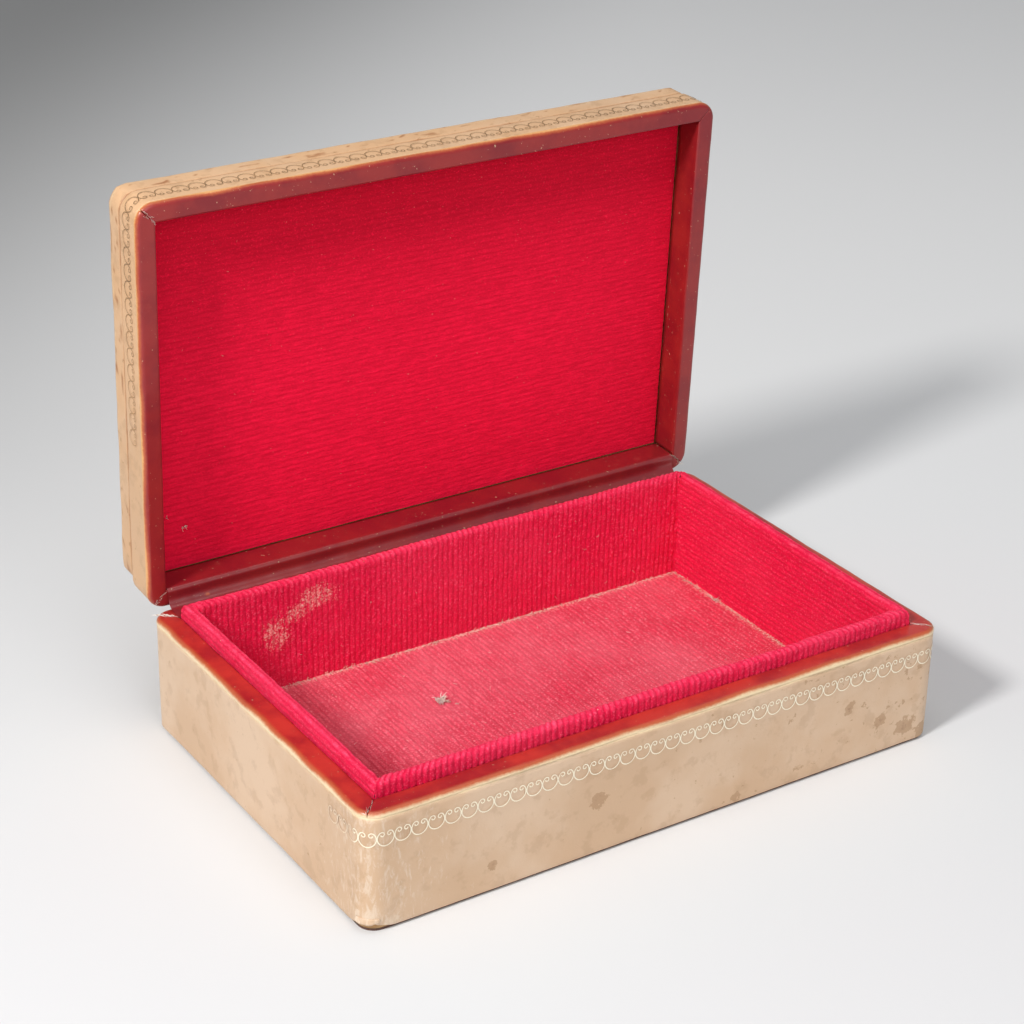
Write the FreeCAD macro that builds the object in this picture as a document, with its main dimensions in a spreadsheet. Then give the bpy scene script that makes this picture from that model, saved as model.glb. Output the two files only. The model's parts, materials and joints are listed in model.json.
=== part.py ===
import FreeCAD, Part
import math
import os
import re

import Sketcher

doc = FreeCAD.newDocument("jewellery_case")

# Driving dimensions in millimetres and degrees
SIZES = {
    "case_length": 200.0,
    "case_depth": 130.0,
    "base_height": 38.0,
    "corner_radius": 6.0,
    "leather_thickness": 1.0,
    "rim_thickness": 1.5,
    "rim_edge_radius": 1.4,
    "turn_in_thickness": 1.0,
    "base_turn_in_depth": 12.0,
    "mitre_gap": 0.2,
    "sheet_thickness": 0.8,
    "sheet_inset": 1.0,
    "bottom_thickness": 3.5,
    "base_wall": 5.0,
    "liner_clearance": 0.2,
    "liner_card": 1.8,
    "cloth_thickness": 0.8,
    "cloth_turnover": 12.0,
    "liner_proud": 4.5,
    "floor_card": 1.0,
    "lid_wall": 4.0,
    "lid_frame_height": 12.0,
    "lining_card": 0.8,
    "lining_clearance": 0.2,
    "top_board": 3.0,
    "top_pad": 4.7,
    "panel_inset": 0.4,
    "panel_back_set": 2.6,
    "panel_edge_radius": 2.5,
    "closing_gap": 0.4,
    "open_angle": 87.5,
    "hinge_leather": 0.6,
    "hinge_fold_radius": 0.6,
    "hinge_clearance": 0.3,
    "strip_end_clearance": 0.3,
}

sizes = doc.addObject("Spreadsheet::Sheet", "sizes")
for row, (alias, value) in enumerate(SIZES.items(), start=1):
    sizes.set(f"A{row}", alias)
    sizes.set(f"B{row}", str(value))
    sizes.setAlias(f"B{row}", alias)
doc.recompute()


def size(text):
    """Expression in which each size name points at its cell in the sheet."""
    return re.sub(r"[a-z_]+", lambda found: "sizes." + found[0] if found[0] in SIZES else found[0], text)


# The base is drawn about its own centre; the lid is drawn closed, about the hinge line
BASE_CENTRE = "0"
LID_CENTRE = "( - case_depth / 2 )"

# Heights in the base, measured up from the table
SHEET_TOP = "sheet_thickness"
BOTTOM_TOP = f"( {SHEET_TOP} + bottom_thickness )"
FLOOR_CARD_TOP = f"( {BOTTOM_TOP} + floor_card )"
FLOOR_TOP = f"( {FLOOR_CARD_TOP} + cloth_thickness )"
BASE_WALL_TOP = "( base_height - rim_thickness )"
LINER_TOP = "( base_height + liner_proud )"
CARD_TOP = f"( {LINER_TOP} - cloth_thickness )"

# Heights in the closed lid, measured up from the hinge line
LID_RIM = "( closing_gap / 2 )"
LID_WALL_BOTTOM = f"( {LID_RIM} + rim_thickness )"
LID_WALL_TOP = f"( {LID_RIM} + lid_frame_height )"
LINING_CARD_BOTTOM = f"( {LID_WALL_TOP} - lining_card )"
LINING_BOTTOM = f"( {LINING_CARD_BOTTOM} - cloth_thickness )"
PANEL_HOLLOW = "( top_board + top_pad )"

# Distances inwards from the outer faces
LEATHER_INNER = "leather_thickness"
BASE_WALL_INNER = f"( {LEATHER_INNER} + base_wall )"
BASE_RIM_INNER = f"( {BASE_WALL_INNER} + turn_in_thickness )"
LINER_OUTER = f"( {BASE_RIM_INNER} + liner_clearance )"
CARD_OUTER = f"( {LINER_OUTER} + cloth_thickness )"
CARD_INNER = f"( {CARD_OUTER} + liner_card )"
LINER_INNER = f"( {CARD_INNER} + cloth_thickness )"
LID_WALL_INNER = f"( {LEATHER_INNER} + lid_wall )"
LID_RIM_INNER = f"( {LID_WALL_INNER} + turn_in_thickness )"
LINING_EDGE = f"( {LID_RIM_INNER} + lining_clearance )"
PANEL_HOLLOW_EDGE = "( panel_inset + leather_thickness )"

# The hinge line runs along the top of the base's outer back edge
HINGE_Y = "( case_depth / 2 )"
HINGE_Z = "( base_height + closing_gap / 2 )"

# The hinge strip runs between the lid's two inner side faces
STRIP_END = f"( case_length / 2 - {LID_RIM_INNER} - strip_end_clearance )"
REBATE_END = f"( {STRIP_END} + strip_end_clearance / 2 )"

pieces = []


def keep(piece, label):
    """Name a finished piece and keep it for export."""
    piece.Label = label
    pieces.append(piece)


def origin_plane(body, role):
    """One of a body's own origin planes."""
    return next(feature for feature in body.Origin.OriginFeatures if feature.Role == role)


def new_body(name):
    return doc.addObject("PartDesign::Body", name)


def draw_outline(sketch, corners):
    """Closed outline whose corners are held at the given pairs of expressions."""
    first = sketch.GeometryCount
    count = len(corners)
    start = [FreeCAD.Vector(math.cos(2 * math.pi * i / count), math.sin(2 * math.pi * i / count), 0)
             for i in range(count)]
    for i in range(count):
        sketch.addGeometry(Part.LineSegment(start[i], start[(i + 1) % count]), False)
    for i in range(count):
        sketch.addConstraint(Sketcher.Constraint("Coincident", first + i, 2, first + (i + 1) % count, 1))
    for i, (x, y) in enumerate(corners):
        across = sketch.addConstraint(Sketcher.Constraint("DistanceX", first + i, 1, start[i].x))
        sketch.setExpression(f"Constraints[{across}]", size(x))
        along = sketch.addConstraint(Sketcher.Constraint("DistanceY", first + i, 1, start[i].y))
        sketch.setExpression(f"Constraints[{along}]", size(y))


def rectangle(centre, inset, back_set="0"):
    """Corners of the case's plan, moved inwards by an inset, and further at the back where that is set in."""
    right = f"( case_length / 2 - {inset} )"
    reach = f"( case_depth / 2 - {inset} )"
    front = f"{centre} - {reach}"
    back = f"{centre} + {reach} - {back_set}"
    return [(f"- {right}", front), (right, front), (right, back), (f"- {right}", back)]


def panel_outline(inset):
    """Corners of the lid's top panel, which stops short of the hinge."""
    return rectangle(LID_CENTRE, inset, "panel_back_set")


def strip_outline(half_length, front, back):
    """Corners of a strip that runs along the hinge line."""
    left = f"- {half_length}"
    return [(left, front), (half_length, front), (half_length, back), (left, back)]


def pad(body, outlines, bottom, height):
    """Raise one or more plan outlines from a height; a second outline leaves a hole."""
    sketch = body.newObject("Sketcher::SketchObject", body.Name + "_outline")
    sketch.AttachmentSupport = (origin_plane(body, "XY_Plane"), [""])
    sketch.MapMode = "FlatFace"
    sketch.setExpression("AttachmentOffset.Base.z", size(bottom))
    for corners in outlines:
        draw_outline(sketch, corners)
    raised = body.newObject("PartDesign::Pad", body.Name + "_pad")
    raised.Profile = sketch
    raised.setExpression("Length", size(height))
    doc.recompute()


def round_edges(body, radius, chosen):
    """Round the edges of a body that a test picks out."""
    solid = body.Tip
    names = [f"Edge{i}" for i, edge in enumerate(solid.Shape.Edges, start=1) if chosen(edge)]
    fillet = body.newObject("PartDesign::Fillet", body.Name + "_round")
    fillet.Base = (solid, names)
    fillet.setExpression("Radius", size(radius))
    doc.recompute()


def upright(edge):
    box = edge.BoundBox
    return box.ZLength > 0 and max(box.XLength, box.YLength) < 1e-6


def outer_upright(body):
    """Test for the upright edges at the corners of a body's outline."""
    half = body.Tip.Shape.BoundBox.XLength / 2

    def chosen(edge):
        return upright(edge) and abs(abs(edge.BoundBox.Center.x) - half) < 1e-6
    return chosen


def inner_upright(body):
    """Test for the upright edges at the corners of a body's hole."""
    outer = outer_upright(body)

    def chosen(edge):
        return upright(edge) and not outer(edge)
    return chosen


def outer_loop(body, top):
    """Test for the level edges round a body's top or bottom, on its outline."""
    box = body.Tip.Shape.BoundBox
    level = box.ZMax if top else box.ZMin
    middle_y = box.Center.y

    def chosen(edge):
        at = edge.valueAt((edge.FirstParameter + edge.LastParameter) / 2)
        flat = edge.BoundBox.ZLength < 1e-6 and abs(at.z - level) < 1e-6
        corner = min(box.XLength / 2 - abs(at.x), box.YLength / 2 - abs(at.y - middle_y))
        return flat and corner < SIZES["corner_radius"] / 2
    return chosen


def slab(name, outline, bottom, height):
    """Flat piece of one outline."""
    body = new_body(name)
    pad(body, [outline], bottom, height)
    return body


def ring(name, centre, bands):
    """Frame round the case made of bands: outer inset, inner inset, bottom and height of each."""
    body = new_body(name)
    for outer, inner, bottom, height in bands:
        pad(body, [rectangle(centre, outer), rectangle(centre, inner)], bottom, height)
    return body


def place_on_hinge(piece):
    """Turn a piece of the closed lid about the hinge line to where it stands open."""
    piece.Placement = FreeCAD.Placement(FreeCAD.Vector(), FreeCAD.Rotation(FreeCAD.Vector(1, 0, 0), -1))
    piece.setExpression("Placement.Base.y", size(HINGE_Y))
    piece.setExpression("Placement.Base.z", size(HINGE_Z))
    piece.setExpression("Placement.Rotation.Angle", size("- open_angle"))


def mitre_wedges(name, centre, bottom, height):
    """Four prisms that part a frame along the diagonals of its corners."""
    margin = "corner_radius"
    depth = "( case_depth / 4 )"
    half_gap = "( mitre_gap / sqrt(2) )"
    far_x = f"( case_length / 2 + {margin} )"
    near_x = f"( case_length / 2 - {depth} )"
    far_y = f"( case_depth / 2 + {margin} )"
    near_y = f"( case_depth / 2 - {depth} )"
    wedges = {}
    for side, sign in (("front", "-"), ("back", "+")):
        corners = [
            (f"- ( {far_x} - {half_gap} )", f"{centre} {sign} {far_y}"),
            (f"( {far_x} - {half_gap} )", f"{centre} {sign} {far_y}"),
            (f"( {near_x} - {half_gap} )", f"{centre} {sign} {near_y}"),
            (f"- ( {near_x} - {half_gap} )", f"{centre} {sign} {near_y}"),
        ]
        wedges[side] = slab(f"{name}_{side}_wedge", corners, bottom, height)
    for side, sign in (("left", "-"), ("right", "")):
        corners = [
            (f"{sign} {far_x}", f"{centre} - ( {far_y} - {half_gap} )"),
            (f"{sign} {far_x}", f"{centre} + ( {far_y} - {half_gap} )"),
            (f"{sign} {near_x}", f"{centre} + ( {near_y} - {half_gap} )"),
            (f"{sign} {near_x}", f"{centre} - ( {near_y} - {half_gap} )"),
        ]
        wedges[side] = slab(f"{name}_{side}_wedge", corners, bottom, height)
    return wedges


def combine(kind, name, base, tool):
    """Boolean of two pieces, such as Part::Common or Part::Cut."""
    result = doc.addObject(kind, name)
    result.Base = base
    result.Tool = tool
    doc.recompute()
    return result


def part_frame(frame, wedges):
    """The four mitred sides of a frame, by side."""
    sides = {}
    for side, wedge in wedges.items():
        sides[side] = combine("Part::Common", f"{frame.Name}_{side}", frame, wedge)
    return sides


# Base: underside sheet and bottom board
base_sheet = slab("base_sheet_body", rectangle(BASE_CENTRE, "sheet_inset"), "0", "sheet_thickness")
round_edges(base_sheet, "corner_radius - sheet_inset", outer_upright(base_sheet))
keep(base_sheet, "base_sheet")

bottom_board = slab("bottom_board_body", rectangle(BASE_CENTRE, LEATHER_INNER), SHEET_TOP, "bottom_thickness")
round_edges(bottom_board, f"corner_radius - {LEATHER_INNER}", outer_upright(bottom_board))
keep(bottom_board, "bottom_board")

# Base: leather round the outer faces
wrap_height = f"{BASE_WALL_TOP} - {SHEET_TOP}"
base_wrap = ring("base_wrap_body", BASE_CENTRE, [("0", LEATHER_INNER, SHEET_TOP, wrap_height)])
round_edges(base_wrap, f"corner_radius - {LEATHER_INNER}", inner_upright(base_wrap))
round_edges(base_wrap, "corner_radius", outer_upright(base_wrap))
keep(base_wrap, "base_leather_wrap")

base_wedges = mitre_wedges("base", BASE_CENTRE, "0", f"{LINER_TOP} + corner_radius")

# Base: wooden walls on the bottom board
wall_height = f"{BASE_WALL_TOP} - {BOTTOM_TOP}"
base_frame = ring("base_wall_body", BASE_CENTRE, [(LEATHER_INNER, BASE_WALL_INNER, BOTTOM_TOP, wall_height)])
round_edges(base_frame, f"corner_radius - {LEATHER_INNER}", outer_upright(base_frame))
for side, wall in part_frame(base_frame, base_wedges).items():
    keep(wall, f"base_{side}_wall")

# Base: rim leather over the wall tops and down behind the liner
turn_in_bottom = f"( {BASE_WALL_TOP} - base_turn_in_depth )"
base_rim = ring("base_rim_body", BASE_CENTRE, [
    ("0", BASE_RIM_INNER, BASE_WALL_TOP, "rim_thickness"),
    (BASE_WALL_INNER, BASE_RIM_INNER, turn_in_bottom, "base_turn_in_depth"),
])
round_edges(base_rim, "corner_radius", outer_upright(base_rim))
round_edges(base_rim, "rim_edge_radius", outer_loop(base_rim, True))
base_rims = part_frame(base_rim, base_wedges)

# Base: hinge strip let into the back rim, with its round fold on the hinge line
strip_bottom = "( base_height - hinge_leather )"
base_rebate = slab(
    "base_rebate_body",
    strip_outline(REBATE_END, f"{HINGE_Y} - {BASE_RIM_INNER} - corner_radius", f"{HINGE_Y} + corner_radius"),
    strip_bottom,
    "hinge_leather + corner_radius",
)
base_rims["back"] = combine("Part::Cut", "base_rim_back_let_in", base_rims["back"], base_rebate)
for side, rim in base_rims.items():
    keep(rim, f"base_rim_{side}")

strip_base = slab(
    "hinge_strip_base_body",
    strip_outline(STRIP_END, f"{HINGE_Y} - {BASE_RIM_INNER}", HINGE_Y),
    strip_bottom,
    "hinge_leather",
)
fold = strip_base.newObject("Sketcher::SketchObject", "hinge_fold_outline")
fold.AttachmentSupport = (origin_plane(strip_base, "YZ_Plane"), [""])
fold.MapMode = "FlatFace"
fold.addGeometry(Part.Circle(FreeCAD.Vector(), FreeCAD.Vector(0, 0, 1), 1), False)
fold_centre_y = fold.addConstraint(Sketcher.Constraint("DistanceX", 0, 3, 1))
fold_centre_z = fold.addConstraint(Sketcher.Constraint("DistanceY", 0, 3, 1))
fold_radius = fold.addConstraint(Sketcher.Constraint("Radius", 0, 1))
fold.setExpression(f"Constraints[{fold_centre_y}]", size(HINGE_Y))
fold.setExpression(f"Constraints[{fold_centre_z}]", size(HINGE_Z))
fold.setExpression(f"Constraints[{fold_radius}]", size("hinge_fold_radius"))
fold_pad = strip_base.newObject("PartDesign::Pad", "hinge_fold_pad")
fold_pad.Profile = fold
fold_pad.Midplane = True
fold_pad.setExpression("Length", size(f"2 * {STRIP_END}"))
doc.recompute()
keep(strip_base, "hinge_strip_base")

# Base: liner cards that stand proud of the rim, in their cloth
card_height = f"{CARD_TOP} - {BOTTOM_TOP}"
card_frame = ring("liner_card_body", BASE_CENTRE, [(CARD_OUTER, CARD_INNER, BOTTOM_TOP, card_height)])
for side, card in part_frame(card_frame, base_wedges).items():
    keep(card, f"liner_card_{side}")

cloth_frame = ring("liner_cloth_body", BASE_CENTRE, [
    (LINER_OUTER, LINER_INNER, CARD_TOP, "cloth_thickness"),
    (CARD_INNER, LINER_INNER, FLOOR_TOP, f"{CARD_TOP} - {FLOOR_TOP}"),
    (LINER_OUTER, CARD_OUTER, f"( {CARD_TOP} - cloth_turnover )", "cloth_turnover"),
])
for side, cloth in part_frame(cloth_frame, base_wedges).items():
    keep(cloth, f"liner_cloth_{side}")

# Base: floor card and floor cloth between the liner cards
keep(slab("floor_card_body", rectangle(BASE_CENTRE, CARD_INNER), BOTTOM_TOP, "floor_card"), "floor_card")
floor_cloth = slab("floor_cloth_body", rectangle(BASE_CENTRE, CARD_INNER), FLOOR_CARD_TOP, "cloth_thickness")
keep(floor_cloth, "floor_cloth")

lid_wedges = mitre_wedges("lid", LID_CENTRE, "0", f"{LID_WALL_TOP} + corner_radius")
lid_pieces = {}

# Lid: leather band round the edge
band_height = f"{LID_WALL_TOP} - {LID_WALL_BOTTOM}"
lid_band = ring("lid_band_body", LID_CENTRE, [("0", LEATHER_INNER, LID_WALL_BOTTOM, band_height)])
round_edges(lid_band, f"corner_radius - {LEATHER_INNER}", inner_upright(lid_band))
round_edges(lid_band, "corner_radius", outer_upright(lid_band))
lid_pieces["lid_leather_band"] = lid_band

# Lid: wooden frame
lid_frame = ring("lid_wall_body", LID_CENTRE, [(LEATHER_INNER, LID_WALL_INNER, LID_WALL_BOTTOM, band_height)])
round_edges(lid_frame, f"corner_radius - {LEATHER_INNER}", outer_upright(lid_frame))
for side, wall in part_frame(lid_frame, lid_wedges).items():
    lid_pieces[f"lid_{side}_wall"] = wall

# Lid: rim leather over the frame's edge and down the inside of the recess
lid_rim = ring("lid_rim_body", LID_CENTRE, [
    ("0", LID_RIM_INNER, LID_RIM, "rim_thickness"),
    (LID_WALL_INNER, LID_RIM_INNER, LID_WALL_BOTTOM, band_height),
])
round_edges(lid_rim, "corner_radius", outer_upright(lid_rim))
round_edges(lid_rim, "rim_edge_radius", outer_loop(lid_rim, False))
lid_rims = part_frame(lid_rim, lid_wedges)

# Lid: hinge strip let into the back rim, clear of the fold
lid_rebate = slab(
    "lid_rebate_body",
    strip_outline(REBATE_END, f"- {LID_RIM_INNER} - corner_radius", "corner_radius"),
    f"{LID_RIM} - corner_radius",
    "hinge_leather + corner_radius",
)
lid_rims["back"] = combine("Part::Cut", "lid_rim_back_let_in", lid_rims["back"], lid_rebate)
for side, rim in lid_rims.items():
    lid_pieces[f"lid_rim_{side}"] = rim
lid_pieces["hinge_strip_lid"] = slab(
    "hinge_strip_lid_body",
    strip_outline(STRIP_END, f"- {LID_RIM_INNER}", "- hinge_fold_radius - hinge_clearance"),
    LID_RIM,
    "hinge_leather",
)

# Lid: padded top panel on its board
lid_pieces["lid_top_board"] = slab(
    "lid_top_board_body", panel_outline(PANEL_HOLLOW_EDGE), LID_WALL_TOP, "top_board")
top_pad = slab(
    "lid_top_pad_body", panel_outline(PANEL_HOLLOW_EDGE), f"{LID_WALL_TOP} + top_board", "top_pad")
lid_pieces["lid_top_pad"] = top_pad
for panel in (lid_pieces["lid_top_board"], top_pad):
    round_edges(panel, f"corner_radius - {PANEL_HOLLOW_EDGE}", outer_upright(panel))
round_edges(top_pad, "panel_edge_radius - leather_thickness", outer_loop(top_pad, True))

top_leather = slab(
    "lid_top_cover_body",
    panel_outline("panel_inset"),
    LID_WALL_TOP,
    f"{PANEL_HOLLOW} + leather_thickness",
)
round_edges(top_leather, "corner_radius - panel_inset", outer_upright(top_leather))
round_edges(top_leather, "panel_edge_radius", outer_loop(top_leather, True))
panel_core = slab("lid_top_core_body", panel_outline(PANEL_HOLLOW_EDGE), LID_WALL_TOP, PANEL_HOLLOW)
round_edges(panel_core, f"corner_radius - {PANEL_HOLLOW_EDGE}", outer_upright(panel_core))
lid_pieces["lid_top_leather"] = combine("Part::Cut", "lid_top_leather_cut", top_leather, panel_core)

# Lid: lining panel in the recess
lid_pieces["lid_lining_card"] = slab(
    "lid_lining_card_body", rectangle(LID_CENTRE, LINING_EDGE), LINING_CARD_BOTTOM, "lining_card")
lid_pieces["lid_lining_cloth"] = slab(
    "lid_lining_cloth_body", rectangle(LID_CENTRE, LINING_EDGE), LINING_BOTTOM, "cloth_thickness")

for label, piece in lid_pieces.items():
    place_on_hinge(piece)
    keep(piece, label)
doc.recompute()

# Every object has to be sound before a file is written
for item in doc.Objects:
    if "Invalid" in item.State or "Error" in item.State:
        raise RuntimeError(f"{item.Label} failed: {item.State}")
for piece in pieces:
    if piece.Shape.isNull() or not piece.Shape.isValid():
        raise RuntimeError(f"{piece.Label} has no valid shape")
    if len(piece.Shape.Solids) != 1:
        raise RuntimeError(f"{piece.Label} has {len(piece.Shape.Solids)} solids")

os.makedirs("parts", exist_ok=True)
for piece in pieces:
    piece.Shape.exportStep(f"parts/{piece.Label}.step")
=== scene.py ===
import json
import math
import random

import bmesh
import bpy
from mathutils import Matrix, Vector, noise


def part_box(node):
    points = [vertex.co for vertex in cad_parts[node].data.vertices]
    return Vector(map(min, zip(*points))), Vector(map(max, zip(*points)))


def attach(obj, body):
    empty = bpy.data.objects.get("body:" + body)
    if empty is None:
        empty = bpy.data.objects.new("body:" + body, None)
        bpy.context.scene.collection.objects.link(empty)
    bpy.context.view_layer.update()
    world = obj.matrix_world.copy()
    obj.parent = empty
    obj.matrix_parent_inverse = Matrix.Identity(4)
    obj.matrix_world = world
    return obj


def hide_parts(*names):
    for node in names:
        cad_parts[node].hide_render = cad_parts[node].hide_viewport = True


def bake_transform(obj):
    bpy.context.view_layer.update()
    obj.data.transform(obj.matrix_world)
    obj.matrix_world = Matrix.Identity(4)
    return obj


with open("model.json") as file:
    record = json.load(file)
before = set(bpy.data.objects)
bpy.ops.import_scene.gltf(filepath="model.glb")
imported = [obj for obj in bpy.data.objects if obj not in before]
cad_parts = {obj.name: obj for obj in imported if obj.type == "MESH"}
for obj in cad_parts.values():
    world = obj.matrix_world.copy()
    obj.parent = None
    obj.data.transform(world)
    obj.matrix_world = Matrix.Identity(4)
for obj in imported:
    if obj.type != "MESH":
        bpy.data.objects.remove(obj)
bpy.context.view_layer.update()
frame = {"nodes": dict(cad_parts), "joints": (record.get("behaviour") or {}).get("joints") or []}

MM = 0.001


def node_corner(node, top):
    """Lowest or highest corner of a CAD node, in millimetres."""
    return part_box(node)[1 if top else 0] / MM


# Sizes in millimetres, read from the frame
HALF_LENGTH = node_corner("base_leather_wrap", True).x
HALF_DEPTH = node_corner("base_leather_wrap", True).y
WRAP_BOTTOM = node_corner("base_leather_wrap", False).z
WRAP_TOP = node_corner("base_leather_wrap", True).z
RIM_TOP = node_corner("base_rim_front", True).z
RIM_THICKNESS = RIM_TOP - WRAP_TOP
BASE_RIM_WIDTH = HALF_LENGTH - node_corner("base_rim_right", False).x
LID_RIM_WIDTH = HALF_LENGTH - node_corner("lid_rim_right", False).x
LINER_OUTER = HALF_LENGTH - node_corner("liner_cloth_right", True).x
LINER_INNER = HALF_LENGTH - node_corner("liner_cloth_right", False).x
LINER_TOP = node_corner("liner_cloth_front", True).z
FLOOR_TOP = node_corner("floor_cloth", True).z
FLOOR_EDGE = HALF_LENGTH - node_corner("floor_cloth", True).x
LINING_EDGE = HALF_LENGTH - node_corner("lid_lining_cloth", True).x
PANEL_INSET = HALF_LENGTH - node_corner("lid_top_leather", True).x
STRIP_END = node_corner("hinge_strip_base", True).x

# Finished sizes in millimetres that the solids share
CORNER_RADIUS = 6.0
RIM_EDGE_RADIUS = 1.4
PANEL_EDGE_RADIUS = 2.5
MITRE_GAP = 0.12

# Leather thicknesses in millimetres
TAN_THICKNESS = 0.8
PANEL_THICKNESS = 0.7
RIM_LEATHER_THICKNESS = 0.7
FLAP_THICKNESS = 0.35

# The hinge, and where the closed lid is taken to when it stands open
HINGE = Vector(frame["joints"][0]["pos_m"]) / MM
OPEN_ANGLE = -math.radians(frame["joints"][0]["range_deg"][0])
OPEN_LID = Matrix.Translation(HINGE) @ Matrix.Rotation(-OPEN_ANGLE, 4, "X") @ Matrix.Translation(-HINGE)


def shut_corner(node, top):
    """Lowest or highest corner of a lid node, in millimetres, with the lid turned shut."""
    shut = OPEN_LID.inverted()
    points = [shut @ (vert.co / MM) for vert in frame["nodes"][node].data.vertices]
    pick = max if top else min
    return Vector([pick(point[axis] for point in points) for axis in range(3)])


# Heights and insets of the shut lid, and how far the rim leathers turn in, in millimetres
LID_RIM = 2 * HINGE.z - RIM_TOP
LID_SEAM = shut_corner("lid_leather_band", True).z
LINING_DEPTH = shut_corner("lid_lining_cloth", False).z - LID_RIM
BASE_TURN_IN = 4.0
LID_TURN_IN = LINING_DEPTH - 0.3
PANEL_TOP = shut_corner("lid_top_leather", True).z
PANEL_BACK_SET = HALF_DEPTH - PANEL_INSET - shut_corner("lid_top_leather", True).y

SIDES = ("back", "left", "front", "right")
STRAIGHT_X = HALF_LENGTH - CORNER_RADIUS
STRAIGHT_Y = HALF_DEPTH - CORNER_RADIUS
CORNER_ARC = math.pi * CORNER_RADIUS / 2
OUTLINE = 4 * (STRAIGHT_X + STRAIGHT_Y + CORNER_ARC)
MITRE_X = HALF_LENGTH - 2.0
MITRE_Y = HALF_DEPTH - 2.0

# Values that the finishes read from the meshes
TAN_LAYERS = ("wear", "stain", "scuff", "grime_and_shade")
CORD_LAYERS = ("rib", "wear", "fade_and_painted_light")


# Node building

def put(tree, kind, inputs=None, **settings):
    """Add a node, with values or links for its inputs, given by name or number."""
    node = tree.nodes.new(kind)
    for key, value in settings.items():
        setattr(node, key, value)
    for key, value in (inputs or {}).items():
        if isinstance(value, bpy.types.NodeSocket):
            tree.links.new(value, node.inputs[key])
        else:
            node.inputs[key].default_value = value
    return node


def mix(tree, factor, first, second, blend="MIX"):
    """Colour mixed from two colours; the numbers are the node's colour sockets."""
    node = put(tree, "ShaderNodeMix", {0: factor, 6: first, 7: second}, data_type="RGBA", blend_type=blend)
    return node.outputs[2]


def maths(tree, operation, first, second):
    """Result of a sum on two values."""
    return put(tree, "ShaderNodeMath", {0: first, 1: second}, operation=operation).outputs[0]


def scaled(tree, value, amount):
    """Value times a fixed amount."""
    return maths(tree, "MULTIPLY", value, amount)


def cloudy(tree, place, scale, detail, roughness=0.5, distortion=0.0):
    """Soft noise about 0.5."""
    return put(tree, "ShaderNodeTexNoise", {"Vector": place, "Scale": scale, "Detail": detail,
                                            "Roughness": roughness, "Distortion": distortion}).outputs[0]


def level(tree, value, low, high):
    """Value spread from 0 at low to 1 at high."""
    node = put(tree, "ShaderNodeMapRange", {"Value": value, "From Min": low, "From Max": high},
               interpolation_type="SMOOTHSTEP")
    return node.outputs[0]


def attribute(tree, name):
    """A value stored on the mesh."""
    return put(tree, "ShaderNodeAttribute", attribute_name=name).outputs["Fac"]


def place_in_mm(tree):
    """Object coordinates in millimetres."""
    coords = put(tree, "ShaderNodeTexCoord").outputs["Object"]
    return put(tree, "ShaderNodeVectorMath", {0: coords, "Scale": 1 / MM}, operation="SCALE").outputs[0]


def colour(red, green, blue):
    """Linear colour from the 0 to 255 values of a paint chart."""
    def linear(value):
        share = value / 255
        return share / 12.92 if share <= 0.04045 else ((share + 0.055) / 1.055) ** 2.4
    return (linear(red), linear(green), linear(blue), 1.0)


EVEN = (1.0, 1.0, 1.0)


def make_blotch_group():
    """Mask of soft blotches: stretched noise between two levels."""
    group = bpy.data.node_groups.new("blotches", "ShaderNodeTree")
    for label in ("Place", "Stretch"):
        group.interface.new_socket(label, in_out="INPUT", socket_type="NodeSocketVector")
    for label in ("Size", "Detail", "Low", "High"):
        group.interface.new_socket(label, in_out="INPUT", socket_type="NodeSocketFloat")
    group.interface.new_socket("Mask", in_out="OUTPUT", socket_type="NodeSocketFloat")
    given = group.nodes.new("NodeGroupInput").outputs
    result = group.nodes.new("NodeGroupOutput").inputs
    stretched = put(group, "ShaderNodeVectorMath", {0: given["Place"], 1: given["Stretch"]},
                    operation="MULTIPLY").outputs[0]
    fineness = maths(group, "DIVIDE", 1.0, given["Size"])
    cloud = cloudy(group, stretched, fineness, given["Detail"], 0.6)
    group.links.new(level(group, cloud, given["Low"], given["High"]), result["Mask"])
    return group


BLOTCHES = make_blotch_group()


def blotch(tree, place, size, low, high, stretch=EVEN, detail=4.0):
    """Mask from the blotches group."""
    node = put(tree, "ShaderNodeGroup", {"Place": place, "Size": size, "Low": low, "High": high,
                                         "Stretch": stretch, "Detail": detail}, node_tree=BLOTCHES)
    return node.outputs["Mask"]


def new_finish(name, roughness, settings=None):
    """Material with a Principled shader; gives the material, its tree and its shader."""
    material = bpy.data.materials.new(name)
    material.use_nodes = True
    tree = material.node_tree
    shader = tree.nodes["Principled BSDF"]
    for label, value in {"Roughness": roughness, **(settings or {})}.items():
        shader.inputs[label].default_value = value
    return material, tree, shader


def bumped(tree, shader, height, strength, distance):
    """Relief in the shader's normal."""
    bump = put(tree, "ShaderNodeBump", {"Height": height, "Strength": strength, "Distance": distance * MM})
    tree.links.new(bump.outputs["Normal"], shader.inputs["Normal"])


def grain_height(tree, place, size):
    """Fine leather grain: pebbles with soft creases between them."""
    cells = put(tree, "ShaderNodeTexVoronoi", {"Vector": place, "Scale": 1 / size}, feature="SMOOTH_F1")
    pores = cloudy(tree, place, 3 / size, 3.0)
    return maths(tree, "ADD", cells.outputs["Distance"], scaled(tree, pores, 0.5))


# Finishes

TAN = colour(202, 171, 141)
TAN_PALE = colour(213, 188, 163)
TAN_WARM = colour(222, 166, 108)
TAN_STAIN = colour(158, 120, 84)
TAN_DARK = colour(128, 90, 62)
SEAM_BROWN = colour(150, 84, 36)
SCUFF = colour(232, 218, 200)
CREAM = colour(232, 208, 168)
ORANGE = colour(184, 94, 54)
RED_BROWN = colour(188, 52, 42)
RED_BROWN_MID = colour(152, 30, 34)
RED_BROWN_DARK = colour(104, 14, 28)
RED_BROWN_PALE = colour(186, 92, 78)


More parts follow.
